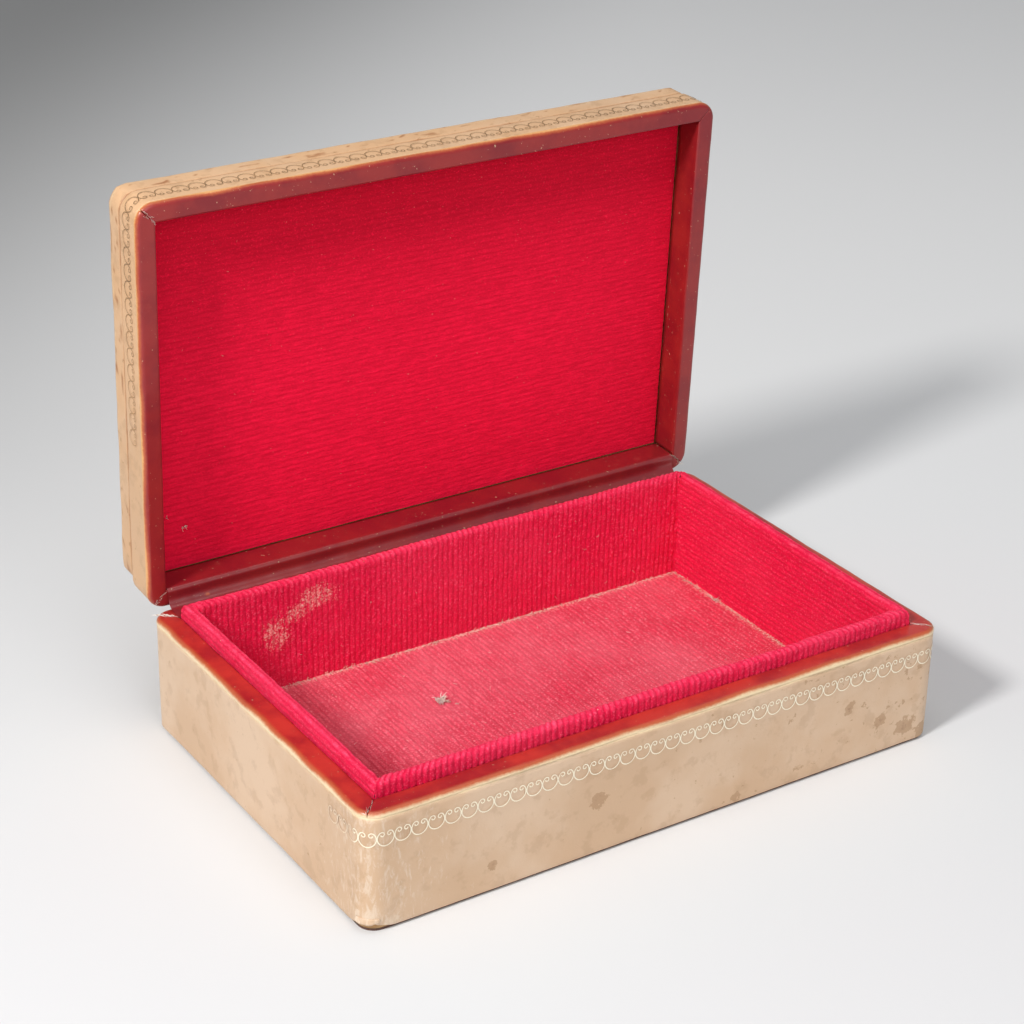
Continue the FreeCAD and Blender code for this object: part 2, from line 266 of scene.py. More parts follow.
def tan_leather(name, warm):
    """Aged tan leather: pale rubs, warm patches, stains, scuffs, a cream edge by the rim, and dirt with
    painted shade in seam grooves.
    """
    material, tree, shader = new_finish(name, 0.55)
    place = place_in_mm(tree)
    base = mix(tree, blotch(tree, place, 38.0, 0.38, 0.66), TAN, TAN_PALE)
    warmth = maths(tree, "ADD", scaled(tree, blotch(tree, place, 40.0, 0.3, 0.7), 0.5), 0.5)
    base = mix(tree, scaled(tree, warmth, warm), base, TAN_WARM)
    mottle = blotch(tree, place, 6.0, 0.52, 0.64, detail=6.0)
    base = mix(tree, scaled(tree, mottle, 0.20), base, TAN_STAIN)
    wobble = maths(tree, "SUBTRACT", cloudy(tree, place, 0.28, 6.0, 0.66), 0.5)
    spill = maths(tree, "ADD", attribute(tree, "stain"), scaled(tree, wobble, 2.2))
    stain = level(tree, spill, 0.50, 0.56)
    base = mix(tree, scaled(tree, stain, 0.5), base, TAN_STAIN)
    base = mix(tree, scaled(tree, level(tree, spill, 0.80, 1.1), 0.35), base, TAN_DARK)
    upright = put(tree, "ShaderNodeVectorMath", {0: place, 1: (0.42, 0.42, 0.15)}, operation="MULTIPLY")
    streaks = cloudy(tree, upright.outputs[0], 1.6, 6.0, 0.7, 0.5)
    scuffs = maths(tree, "ADD", scaled(tree, attribute(tree, "scuff"), 0.22), streaks)
    base = mix(tree, scaled(tree, level(tree, scuffs, 0.64, 0.86), 0.45), base, SCUFF)
    specks = blotch(tree, place, 1.1, 0.71, 0.77, detail=2.0)
    base = mix(tree, scaled(tree, specks, 0.3), base, TAN_DARK)
    edge = maths(tree, "ADD", attribute(tree, "wear"), scaled(tree, wobble, 0.8))
    base = mix(tree, level(tree, edge, 0.45, 0.95), base, CREAM)
    # Dirt and painted shade: brown in the seam grooves, and darker lines along creases.
    grime_and_shade = level(tree, maths(tree, "ADD", attribute(tree, "grime_and_shade"), scaled(tree, wobble, 0.5)), 0.3, 0.9)
    base = mix(tree, scaled(tree, grime_and_shade, 0.8), base, SEAM_BROWN)
    tree.links.new(base, shader.inputs["Base Color"])
    rough = put(tree, "ShaderNodeMapRange", {"Value": stain, "To Min": 0.50, "To Max": 0.66})
    tree.links.new(rough.outputs[0], shader.inputs["Roughness"])
    bumped(tree, shader, grain_height(tree, place, 0.7), 0.2, 0.12)
    return material


def rim_leather(name, depth, edge_tone, worn_width, gloss):
    """Satin red-brown leather that wears through orange at the outer edge."""
    material, tree, shader = new_finish(name, 0.38, {"Coat Weight": gloss, "Coat Roughness": 0.28})
    place = place_in_mm(tree)
    base = mix(tree, blotch(tree, place, 14.0, 0.35, 0.7), RED_BROWN, RED_BROWN_MID)
    base = mix(tree, depth, base, RED_BROWN_DARK)
    rubs = blotch(tree, place, 5.0, 0.62, 0.80, detail=6.0)
    base = mix(tree, scaled(tree, rubs, 0.3), base, RED_BROWN_PALE)
    flecks = blotch(tree, place, 0.9, 0.70, 0.75, detail=2.0)
    base = mix(tree, scaled(tree, flecks, 0.6), base, CREAM)
    broad = cloudy(tree, place, 0.05, 2.0)
    ragged = cloudy(tree, place, 0.9, 6.0, 0.7)
    drift = maths(tree, "ADD", scaled(tree, broad, 2.2), scaled(tree, ragged, 0.9))
    lap = maths(tree, "ADD", attribute(tree, "lap"), maths(tree, "SUBTRACT", drift, 1.55))
    turned = mix(tree, level(tree, lap, 1.0 * worn_width, 3.2 * worn_width), ORANGE, base)
    worn = mix(tree, level(tree, lap, 0.2 * worn_width, 1.5 * worn_width), edge_tone, turned)
    tree.links.new(worn, shader.inputs["Base Color"])
    shine = put(tree, "ShaderNodeMapRange", {"Value": rubs, "To Min": 0.33, "To Max": 0.5})
    tree.links.new(shine.outputs[0], shader.inputs["Roughness"])
    bumped(tree, shader, grain_height(tree, place, 0.5), 0.15, 0.08)
    return material


def corduroy(name, groove_shade, crown, faded_and_lit, fade, fray, along):
    """Needlecord: painted shade in the grooves, broken fuzzy pile, faded patches, pale rubs, and a paler
    tone laid on from the mesh for fade and painted light; along follows the ribs.
    """
    material, tree, shader = new_finish(name, 0.85, {
        "Sheen Weight": 0.35, "Sheen Roughness": 0.45, "Sheen Tint": faded_and_lit, "Specular IOR Level": 0.2})
    place = place_in_mm(tree)
    rib = attribute(tree, "rib")
    pile = cloudy(tree, place, 1.5, 4.0, 0.8)
    strands = blotch(tree, place, 0.8, 0.30, 0.72, stretch=along)
    tufts = maths(tree, "ADD", scaled(tree, rib, 0.5), scaled(tree, pile, 0.9))
    tufts = maths(tree, "ADD", tufts, scaled(tree, strands, 0.4))
    raised = level(tree, tufts, 0.65, 1.50)
    # Painted shade and highlight: the darker tone in the grooves, the paler one on the rib crowns, broken up
    # by the pile's tufts.
    base = mix(tree, raised, groove_shade, crown)
    base = mix(tree, scaled(tree, blotch(tree, place, 34.0, 0.35, 0.70), fade), base, faded_and_lit)
    # The mesh's values lay on the paler tone: soft patches on the floor, worn nap with a painted highlight
    # on the liners' lips, and painted light against painted shade in the lid.
    fade_and_painted_light = maths(tree, "MULTIPLY", attribute(tree, "fade_and_painted_light"), maths(tree, "ADD", scaled(tree, raised, 0.6), 0.4))
    base = mix(tree, fade_and_painted_light, base, faded_and_lit)
    fuzz = maths(tree, "MULTIPLY", blotch(tree, place, 0.6, 0.50, 0.70, detail=3.0), rib)
    base = mix(tree, scaled(tree, fuzz, 0.75), base, faded_and_lit)
    lint = blotch(tree, place, 0.8, 0.72, 0.78, detail=2.0)
    base = mix(tree, scaled(tree, lint, 0.6), base, fray)
    worn = attribute(tree, "wear")
    rubbed = level(tree, maths(tree, "ADD", scaled(tree, worn, 0.22), pile), 0.66, 0.85)
    rubbed = maths(tree, "MULTIPLY", rubbed, level(tree, worn, 0.02, 0.4))
    base = mix(tree, scaled(tree, rubbed, 0.95), base, fray)
    tree.links.new(base, shader.inputs["Base Color"])
    bumped(tree, shader, maths(tree, "ADD", pile, scaled(tree, strands, 0.5)), 0.5, 0.35)
    return material


def foil(name, bright, worn):
    """Tooled line, rubbed back to the leather where it is worn."""
    material, tree, shader = new_finish(name, 0.5)
    place = place_in_mm(tree)
    patches = blotch(tree, place, 2.5, 0.5, 0.7)
    rubbed = maths(tree, "ADD", attribute(tree, "wear"), scaled(tree, patches, 0.5))
    tree.links.new(mix(tree, rubbed, bright, worn), shader.inputs["Base Color"])
    return material


def plain_stock(name, first, second, size, stretch, roughness):
    """Hidden wood, card or paper: two tones with a grain."""
    material, tree, shader = new_finish(name, roughness)
    place = place_in_mm(tree)
    grain = blotch(tree, place, size, 0.35, 0.65, stretch=stretch, detail=6.0)
    tree.links.new(mix(tree, grain, first, second), shader.inputs["Base Color"])
    bumped(tree, shader, grain, 0.2, 0.1)
    return material


def loose_fibre(name, tone):
    """Pale thread that lets some light through."""
    material, tree, shader = new_finish(name, 0.9, {
        "Subsurface Weight": 0.4, "Subsurface Radius": (MM, MM, MM), "Subsurface Scale": 0.5,
        "Specular IOR Level": 0.1})
    place = place_in_mm(tree)
    shade = mix(tree, blotch(tree, place, 2.0, 0.4, 0.7), tone, colour(214, 190, 168))
    tree.links.new(shade, shader.inputs["Base Color"])
    return material


BASE_LEATHER = tan_leather("base_tan_leather", 0.15)
LID_LEATHER = tan_leather("lid_tan_leather", 0.55)
BASE_RIM_LEATHER = rim_leather("base_rim_leather", 0.0, CREAM, 0.95, 0.4)
LID_RIM_LEATHER = rim_leather("lid_rim_leather", 0.55, TAN_WARM, 0.6, 0.15)
HINGE_LEATHER = rim_leather("hinge_leather", 0.7, TAN_WARM, 1.0, 0.9)

# Corduroy: how its ribs run, then its groove and crown tones (painted shade and highlight of one cloth), its
# faded and lit tone, the share faded, and its fray
UPRIGHT_RIBS = (1.0, 1.0, 0.15)
LEVEL_RIBS = (1.0, 0.15, 1.0)
LENGTHWAYS_RIBS = (0.15, 1.0, 1.0)
LINER_TONES = (colour(208, 6, 58), colour(240, 18, 74), colour(254, 96, 128), 0.10, colour(240, 184, 172))
FLOOR_TONES = (colour(196, 22, 56), colour(235, 52, 86), colour(255, 164, 178), 0.14, colour(238, 206, 186))
# The lid's palest tone is painted light, set against painted shade near its front and right edges.
LID_TONES = (colour(192, 0, 37), colour(208, 1, 40), colour(255, 18, 68), 0.0, colour(222, 150, 140))
UPRIGHT_CORD = corduroy("upright_corduroy", *LINER_TONES, UPRIGHT_RIBS)
LEVEL_CORD = corduroy("level_corduroy", *LINER_TONES, LEVEL_RIBS)
FLOOR_CORD = corduroy("floor_corduroy", *FLOOR_TONES, LEVEL_RIBS)
LID_CORD = corduroy("lid_corduroy", *LID_TONES, LENGTHWAYS_RIBS)

IVORY_FOIL = foil("ivory_tooling", colour(246, 236, 212), colour(222, 196, 168))
BRONZE_FOIL = foil("bronze_tooling", colour(104, 82, 58), colour(180, 140, 96))
THREAD = loose_fibre("pale_thread", colour(250, 244, 232))
FRAY = loose_fibre("frayed_cord", colour(246, 214, 190))
CARCASS_WOOD = plain_stock("carcass_wood", colour(196, 160, 112), colour(170, 128, 80), 3.0,
                           (0.1, 1.0, 1.0), 0.7)
CARD_STOCK = plain_stock("card_stock", colour(186, 170, 140), colour(160, 142, 112), 1.5, EVEN, 0.8)
BASE_PAPER = plain_stock("base_paper", colour(74, 48, 40), colour(96, 66, 54), 1.2, EVEN, 0.7)


# Mesh building

def laid_sheet(bm, columns, rows, place, layers=()):
    """Grid bent to shape: place(across, along), both 0 to 1, gives a point and the values of the layers."""
    stored = [bm.verts.layers.float.get(name) or bm.verts.layers.float.new(name) for name in layers]
    fresh = bmesh.ops.create_grid(bm, x_segments=columns, y_segments=rows, size=0.5)["verts"]
    for vert in fresh:
        point, *values = place(vert.co.x + 0.5, vert.co.y + 0.5)
        vert.co = point
        for layer, value in zip(stored, values):
            vert[layer] = value


def new_sheet(columns, rows, place, layers=()):
    """Bmesh of one laid sheet."""
    bm = bmesh.new()
    laid_sheet(bm, columns, rows, place, layers)
    return bm


def new_object(name, bm, material):
    """Smooth object from a bmesh in metres."""
    mesh = bpy.data.meshes.new(name)
    bm.to_mesh(mesh)
    bm.free()
    for polygon in mesh.polygons:
        polygon.use_smooth = True
    mesh.materials.append(material)
    made = bpy.data.objects.new(name, mesh)
    bpy.context.scene.collection.objects.link(made)
    return made


def add_piece(name, bm, material, body, nodes=(), thickness=0.0, flip=False):
    """Turn a bmesh in millimetres into a finished piece of the case; the lid's pieces are drawn shut."""
    bmesh.ops.remove_doubles(bm, verts=bm.verts, dist=0.0005)
    if flip:
        bmesh.ops.reverse_faces(bm, faces=bm.faces)
    if body == "lid":
        bmesh.ops.transform(bm, matrix=OPEN_LID, verts=bm.verts)
    bmesh.ops.scale(bm, vec=(MM, MM, MM), verts=bm.verts)
    piece = new_object(name, bm, material)
    if thickness:
        wall = piece.modifiers.new("thickness", "SOLIDIFY")
        wall.thickness = thickness * MM
        wall.offset = -1
    if body:
        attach(piece, body)
    if nodes:
        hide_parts(*nodes)
    return piece


def ripple(point, size, amount, seed):
    """Gentle unevenness of hand-laid leather and cloth."""
    return amount * noise.noise((point[0] / size + seed, point[1] / size, point[2] / size - seed))


def side_ways(turn):
    """Angle, outward direction and onward direction of a side; the sides run anticlockwise from the back."""
    facing = math.pi / 2 * (turn + 1)
    normal = Vector((math.cos(facing), math.sin(facing), 0))
    return facing, normal, Vector((-normal.y, normal.x, 0))


def outline(distance, inset):
    """Point on the rounded plan and its outward normal, anticlockwise from the middle of the back."""
    distance = (distance + STRAIGHT_X) % OUTLINE
    shrink = max(inset - CORNER_RADIUS, 0.0)
    radius = max(CORNER_RADIUS - inset, 0.0)
    for turn in range(4):
        facing, normal, ahead = side_ways(turn)
        half_run, reach = (STRAIGHT_X, HALF_DEPTH) if turn % 2 == 0 else (STRAIGHT_Y, HALF_LENGTH)
        if distance <= 2 * half_run:
            travel = (distance / half_run - 1) * max(half_run - shrink, 0.0)
            return normal * (reach - inset) + ahead * travel, normal
        distance -= 2 * half_run
        if distance <= CORNER_ARC or turn == 3:
            middle = facing + math.pi / 4
            turned = facing + distance / CORNER_RADIUS
            normal = Vector((math.cos(turned), math.sin(turned), 0))
            centre = Vector((math.copysign(max(STRAIGHT_X - shrink, 0.0), math.cos(middle)),
                             math.copysign(max(STRAIGHT_Y - shrink, 0.0), math.sin(middle)), 0))
            return centre + normal * radius, normal
        distance -= CORNER_ARC


def side_point(side, share, inset, gap):
    """Point along one side from mitre to mitre: half a corner, the straight and half a corner."""
    turn = SIDES.index(side)
    facing, normal, ahead = side_ways(turn)
    half_run, reach = (STRAIGHT_X, HALF_DEPTH) if turn % 2 == 0 else (STRAIGHT_Y, HALF_LENGTH)
    shrink = max(inset - CORNER_RADIUS, 0.0)
    radius = max(CORNER_RADIUS - inset, 0.0)
    bend = 0.1
    end = half_run - shrink - (gap if radius == 0 else 0.0)
    if bend <= share <= 1 - bend:
        travel = ((share - bend) / (1 - 2 * bend) * 2 - 1) * end
        return normal * (reach - inset) + ahead * travel, normal
    way = -1 if share < bend else 1
    part = (bend - share) / bend if share < bend else (share - 1 + bend) / bend
    sweep = max(math.pi / 4 - gap / radius, 0.0) if radius > gap else 0.0
    turned = facing + way * part * sweep
    out = Vector((math.cos(turned), math.sin(turned), 0))
    return normal * (reach - inset - radius) + ahead * (way * end) + out * radius, out


def arc_points(centre, radius, first, last, count):
    """Points of an arc in a profile, angles in degrees."""
    angles = [math.radians(first + (last - first) * i / count) for i in range(count + 1)]
    return [(centre[0] + radius * math.cos(angle), centre[1] + radius * math.sin(angle)) for angle in angles]


def line_points(first, last, count):
    """Points of a straight stretch in a profile."""
    return [(first[0] + (last[0] - first[0]) * i / count, first[1] + (last[1] - first[1]) * i / count)
            for i in range(count + 1)]


def tidy_profile(points):
    """Profile without repeated points."""
    kept = [points[0]]
    for point in points[1:]:
        if math.dist(point, kept[-1]) > 1e-6:
            kept.append(point)
    return kept


def run_lengths(profile):
    """Length run so far at each point of a profile."""
    run = [0.0]
    for before, after in zip(profile, profile[1:]):
        run.append(run[-1] + math.dist(before, after))
    return run


def at_share(points, share):
    """The point of a list that lies a share of the way along it."""
    return points[round(share * (len(points) - 1))]


def rim_profile(width, turn_in):
    """Inset and drop from the rim face: up the edge, round it, across the rim and down inside."""
    points = line_points((0, RIM_THICKNESS), (0, RIM_EDGE_RADIUS), 1)
    points += arc_points((RIM_EDGE_RADIUS, RIM_EDGE_RADIUS), RIM_EDGE_RADIUS, 180, 270, 6)
    inner = 0.6
    points += line_points((RIM_EDGE_RADIUS, 0), (width - inner, 0), 8)
    points += arc_points((width - inner, inner), inner, 270, 360, 4)
    points += line_points((width, inner), (width, turn_in), 6)
    return tidy_profile(points)


def make_rim(body, side, width, turn_in, face, way, material):
    """One mitred strip of rim leather; way is 1 where the rim faces up and -1 where it faces down."""
    profile = rim_profile(width, turn_in)
    run = run_lengths(profile)

    def place(across, along):
        inset, drop = at_share(profile, along)
        point, _ = side_point(side, across, inset, MITRE_GAP)
        point = point + Vector((0, 0, face - way * drop))
        sag = ripple(point, 11.0, 0.16, 3.0) + ripple(point, 3.0, 0.05, 8.0)
        return point - Vector((0, 0, way * (0.12 + sag))), at_share(run, along)

    bm = new_sheet(110, len(profile) - 1, place, ["lap"])
    return add_piece(f"{body}_rim_{side}_leather", bm, material, body,
                     [f"{body}_rim_{side}"], thickness=RIM_LEATHER_THICKNESS, flip=way < 0)


# Marks on the front face: place along it, height and reach
FRONT_STAINS = ((88.7, 7.2, 7.0), (78.0, 12.0, 5.0), (97.0, 2.0, 9.0), (48.0, 6.0, 4.0), (24.0, 3.8, 3.0),
                (-24.5, 18.4, 6.0), (66.0, 20.0, 4.0), (-60.0, 9.0, 3.0))
SCUFF_REACH = 40.0
TORN_REACH = 7.0
TORN_HEIGHT = 2.6
TORN_FADE = 8.0


def front_stain(point):
    """Share of stain on the base's leather: the front's marks, and a trace elsewhere."""
    if point.y > -HALF_DEPTH + 1.5:
        return 0.12
    reach = [1.0 - math.hypot(point.x - x, point.z - z) / size for x, z, size in FRONT_STAINS]
    return max(0.16 + 0.12 * point.x / HALF_LENGTH, *reach)


def front_scuff(point):
    """Rubbed streaks gather at the front left corner."""
    from_corner = math.hypot(point.x + HALF_LENGTH, point.y + HALF_DEPTH)
    return max(0.0, 1.0 - from_corner / SCUFF_REACH)


def torn(point):
    """How far the leather is torn up at the front left foot."""
    away = math.hypot(point.x + MITRE_X, point.y + MITRE_Y)
    return max(0.0, 1.0 - away / TORN_REACH)


def make_base_leather():
    """Tan leather round the base, turned a little way under it and torn at one foot."""
    foot = 0.5
    turn_under = 3.0
    cream_edge = 1.6
    points = line_points((turn_under, WRAP_BOTTOM), (foot, WRAP_BOTTOM), 1)
    points += arc_points((foot, WRAP_BOTTOM + foot), foot, 270, 180, 4)
    points += line_points((0, WRAP_BOTTOM + foot), (0, WRAP_TOP), 18)
    profile = tidy_profile(points)

    def place(across, along):
        inset, height = at_share(profile, along)
        point, normal = outline(across * OUTLINE, inset)
        lift = torn(point) * max(0.0, 1.0 - (height - WRAP_BOTTOM) / TORN_FADE)
        ragged = 1.0 + 0.5 * noise.noise((point.x * 0.9, point.y * 0.9, 2.0))
        point = point + Vector((0, 0, height + lift * TORN_HEIGHT * ragged))
        swell = ripple(point, 22.0, 0.16, 1.0) + ripple(point, 6.0, 0.05, 5.0) - 0.12
        swell += 0.35 * lift
        wear = max(0.0, 1.0 - (WRAP_TOP - height) / cream_edge)
        return point + normal * swell, wear, front_stain(point), front_scuff(point) + 0.7 * lift, 0.0

    bm = new_sheet(480, len(profile) - 1, place, TAN_LAYERS)
    return add_piece("base_tan_wrap", bm, BASE_LEATHER, "base", ["base_leather_wrap"],
                     thickness=TAN_THICKNESS)


def make_lid_band():
    """Tan leather round the lid's frame, tucked in at the seam under the top panel."""
    tuck = 0.9
    turn_in = 2.5
    pale_edge = 1.5
    dark_seam = 1.3
    bottom = LID_RIM + RIM_THICKNESS
    top = LID_SEAM
    points = line_points((0, bottom), (0, top - tuck), 9)
    points += arc_points((tuck, top - tuck), tuck, 180, 90, 4)
    points += line_points((tuck, top), (turn_in, top), 1)
    profile = tidy_profile(points)

    def place(across, along):
        inset, height = at_share(profile, along)
        point, normal = outline(across * OUTLINE, inset)
        point = point + Vector((0, 0, height))
        swell = ripple(point, 20.0, 0.15, 11.0) + ripple(point, 5.0, 0.06, 15.0) - 0.12
        wear = 0.75 * max(0.0, 1.0 - (height - bottom) / pale_edge)
        # Painted shade, with dirt, at the top where the band tucks under the panel's edge.
        grime_and_shade = max(0.0, 1.0 - (top - height) / dark_seam)
        return point + normal * swell, wear, 0.2, 0.0, grime_and_shade

    bm = new_sheet(360, len(profile) - 1, place, TAN_LAYERS)
    return add_piece("lid_tan_band", bm, LID_LEATHER, "lid", ["lid_leather_band"],
                     thickness=TAN_THICKNESS)


def make_lid_panel():
    """Raised top panel: leather drawn over wadding, with a soft edge, a crown and pleats at the corners."""
    seam = LID_SEAM
    under = seam + 0.1
    top = PANEL_TOP
    crown = 1.0
    radius = PANEL_EDGE_RADIUS
    lip = 0.9
    turn_under = 2.2
    dark_seam = 1.6
    edge = PANEL_INSET
    points = line_points((edge + turn_under, under), (edge + lip, under), 1)
    points += arc_points((edge + lip, under + lip), lip, 270, 180, 4)
    points += line_points((edge, under + lip), (edge, top - radius), 4)
    points += arc_points((edge + radius, top - radius), radius, 180, 90, 7)
    points += line_points((edge + radius, top), (HALF_DEPTH, top), 24)
    profile = tidy_profile(points)

    def place(across, along):
        inset, height = at_share(profile, along)
        point, normal = outline(across * OUTLINE, inset)
        across_share = min(abs(point.x) / HALF_LENGTH, 1.0)
        along_share = min(abs(point.y) / HALF_DEPTH, 1.0)
        rise = crown * (1 - across_share ** 3) * (1 - along_share ** 3)
        point = point + Vector((0, 0, height + rise))
        if point.y > 0:
            point.y *= 1 - PANEL_BACK_SET / HALF_DEPTH
        pleat = 0.0
        corner = abs(normal.x * normal.y) * 2
        if inset < edge + radius:
            pleat = corner * 0.22 * math.sin(14 * math.atan2(normal.y, normal.x))
        swell = ripple(point, 12.0, 0.2, 21.0) + ripple(point, 3.5, 0.08, 25.0) + pleat - 0.1
        if inset > edge + radius:
            swell = 0.0
        wear = 0.6 * max(0.0, 1.0 - abs(height - top + radius) / 2.5)
        # Painted shade, with dirt, at the seam under the panel's tucked edge; above it, darker lines along
        # creases.
        grime_and_shade = max(0.0, 1.0 - (height - seam) / dark_seam)
        if seam + dark_seam < height < top - 0.5:
            crease = abs(noise.noise((across * OUTLINE / 16.0, height * 0.9, 3.0)))
            grime_and_shade = max(0.0, 0.85 - 7.0 * crease)
        point = point + normal * swell + Vector((0, 0, 0.4 * ripple(point, 16.0, 0.4, 31.0)))
        return point, wear, 0.2, 0.1, grime_and_shade

    bm = new_sheet(360, len(profile) - 1, place, TAN_LAYERS)
    piece = add_piece("lid_top_panel", bm, LID_LEATHER, "lid", ["lid_top_leather"],
                      thickness=PANEL_THICKNESS)
    return piece


def make_hinge_strip():
    """Leather strip from the lid's recess, over its back rim and down on to the base's back rim."""
    skin = 0.25
    recess = HALF_DEPTH - LID_RIM_WIDTH - skin
    face = LID_RIM - skin
    depth = 9.5
    roll = 1.4
    lid_path = line_points((recess, face + depth), (recess, face + roll), 6)
    lid_path += arc_points((recess + roll, face + roll), roll, 180, 270, 5)
    lid_path += line_points((recess + roll, face), (HALF_DEPTH - 3.2, face), 3)
    on_lid = [OPEN_LID @ Vector((0, y, z)) for y, z in lid_path]
    first = on_lid[-1]
    last = Vector((0, HALF_DEPTH - 3.4, RIM_TOP + skin))
    bend = Vector((0, HALF_DEPTH - 0.6, RIM_TOP + 0.6))
    path = on_lid[:]
    fold_steps = 8
    for step in range(1, fold_steps + 1):
        share = step / fold_steps
        path.append(first * (1 - share) ** 2 + bend * (2 * share * (1 - share)) + last * share ** 2)
    path += [Vector((0, y, RIM_TOP + skin)) for y in (HALF_DEPTH - 4.5, HALF_DEPTH - 6.0, HALF_DEPTH - 7.0)]

    def place(across, along):
        on_path = at_share(path, along)
        x = (2 * across - 1) * STRIP_END
        point = Vector((x, on_path.y, on_path.z))
        wave = ripple(point, 18.0, 0.25, 41.0) + ripple(point, 5.0, 0.08, 45.0)
        low = max(0.0, 1.0 - abs(along - 0.80) / 0.10)
        rubbed = low * across ** 1.5 * max(0.0, noise.noise((x / 14, 4.0, 2.0)) + 0.6)
        chip = max(0.0, 1.3 - math.hypot((x + 81.0) / 1.6, (along - 0.70) / 0.07))
        return point + Vector((0, -abs(wave), abs(wave))) * 0.7, 5.0 - 3.4 * min(1.0, rubbed + chip)

    bm = new_sheet(300, len(path) - 1, place, ["lap"])
    piece = add_piece("hinge_strip_leather", bm, HINGE_LEATHER, None,
                      ["hinge_strip_base", "hinge_strip_lid"], flip=True)
    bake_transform(piece)
    return piece


# Corduroy

RIB_PITCH = 1.9
RIB_HEIGHT = 0.34
RIB_SAMPLES = 7


def rib_height(travel, point, seed):
    """Share of a rib's height at a place across the ribs: round backs, narrow grooves and uneven tufts."""
    wander = ripple(point, 14.0, 0.30, seed) + ripple(point, 4.0, 0.14, seed + 1)
    back = math.sqrt(abs(math.cos(math.pi * (travel + wander) / RIB_PITCH)))
    return back * (0.86 + ripple(point, 2.4, 0.28, seed + 2))


def nap(point, amount=1.0):
    """Tufts along the ribs, which stand a little higher and lower."""
    return amount * (ripple(point, 1.1, 0.13, 0.0) + ripple(point, 0.55, 0.10, 6.0))


def panel_profile():
    """Inset and height of a liner panel's cloth: up outside the card, over it and down to the floor."""
    radius = (LINER_INNER - LINER_OUTER) / 2
    middle = LINER_OUTER + radius
    points = line_points((LINER_OUTER, RIM_TOP - 5), (LINER_OUTER, LINER_TOP - radius), 8)
    points += arc_points((middle, LINER_TOP - radius), radius, 180, 0, 12)
    points += line_points((LINER_INNER, LINER_TOP - radius), (LINER_INNER, FLOOR_TOP - 0.4), 24)
    return tidy_profile(points)


def profile_at(profile, run, travel):
    """Point and outward direction of a profile at a length along it."""
    travel = min(max(travel, 0.0), run[-1])
    for (start, stop), (before, after) in zip(zip(profile, profile[1:]), zip(run, run[1:])):
        if travel <= after:
            share = (travel - before) / (after - before)
            point = (start[0] + (stop[0] - start[0]) * share, start[1] + (stop[1] - start[1]) * share)
            step = ((stop[0] - start[0]) / (after - before), (stop[1] - start[1]) / (after - before))
            return point, (-step[1], step[0])
    return profile[-1], (1.0, 0.0)


# Worn patch on the back liner wall: lobes, with the place and half sizes of each along the wall and up it
BALD_LOBES = ((-63.0, 25.5, 8.0, 10.0), (-48.5, 34.0, 10.5, 6.5), (-56.0, 30.5, 9.0, 6.0))


def bald_patch(point):
    """Share of wear on the back liner wall at a point, with a broken edge."""
    lobes = [1.0 - math.hypot((point.x - x) / wide, (point.z - z) / high)
             for x, z, wide, high in BALD_LOBES]
    return max(0.0, 1.5 * max(lobes) + ripple(point, 5.0, 0.4, 91.0) + ripple(point, 1.6, 0.4, 95.0))


def make_liner_cloth(side):
    """Corduroy over one liner card, with upright ribs at the front and back and level ones at the ends."""
    profile = panel_profile()
    run = run_lengths(profile)
    turn = SIDES.index(side)
    upright = side in ("front", "back")
    half, reach = (HALF_LENGTH, HALF_DEPTH) if upright else (HALF_DEPTH, HALF_LENGTH)
    columns = round(2 * half / RIB_PITCH) * RIB_SAMPLES if upright else 200
    rows = 120 if upright else round(run[-1] / RIB_PITCH) * RIB_SAMPLES
    seed = 50.0 + 7 * turn
    _, normal, ahead = side_ways(turn)

    def place(across, along):
        (inset, height), (out, up) = profile_at(profile, run, along * run[-1])
        share = 2 * across - 1
        point = normal * (reach - inset) + ahead * share * (half - inset) + Vector((0, 0, height))
        rib = rib_height(share * (half - LINER_INNER) if upright else along * run[-1], point, seed)
        bow = ripple(point, 26.0, 0.28, seed) + ripple(point, 4.0, 0.12, seed + 3)
        from_corner = (half - inset) * (1 - abs(share))
        pucker = math.exp(-(from_corner / 4.0) ** 2) * (0.22 + ripple(point, 2.5, 0.2, seed + 5))
        proud = max(0.0, height - RIM_TOP) / (LINER_TOP - RIM_TOP)
        pinch = 0.5 * proud * math.exp(-(from_corner / 1.3) ** 2)
        lift = (rib - 1) * RIB_HEIGHT * (1 + 0.1 * proud) + abs(bow) + nap(point) + pucker - pinch
        point += (normal * -out + Vector((0, 0, up))) * lift
        point.z += proud * ripple(point, 34.0, 0.5, seed + 9)
        wear = bald_patch(point) if side == "back" else 0.0
        wear += 0.5 * max(0.0, 1 - (height - FLOOR_TOP) / 1.8)
        # Paler pink on the rib crowns along the top of the lip: worn nap, with a painted highlight.
        return point, rib, min(wear, 1.0), 0.6 * proud ** 2 * rib ** 3

    bm = new_sheet(columns, rows, place, CORD_LAYERS)
    piece = add_piece(f"liner_{side}_corduroy", bm, UPRIGHT_CORD if upright else LEVEL_CORD, "base",
                      [f"liner_cloth_{side}"])
    return piece


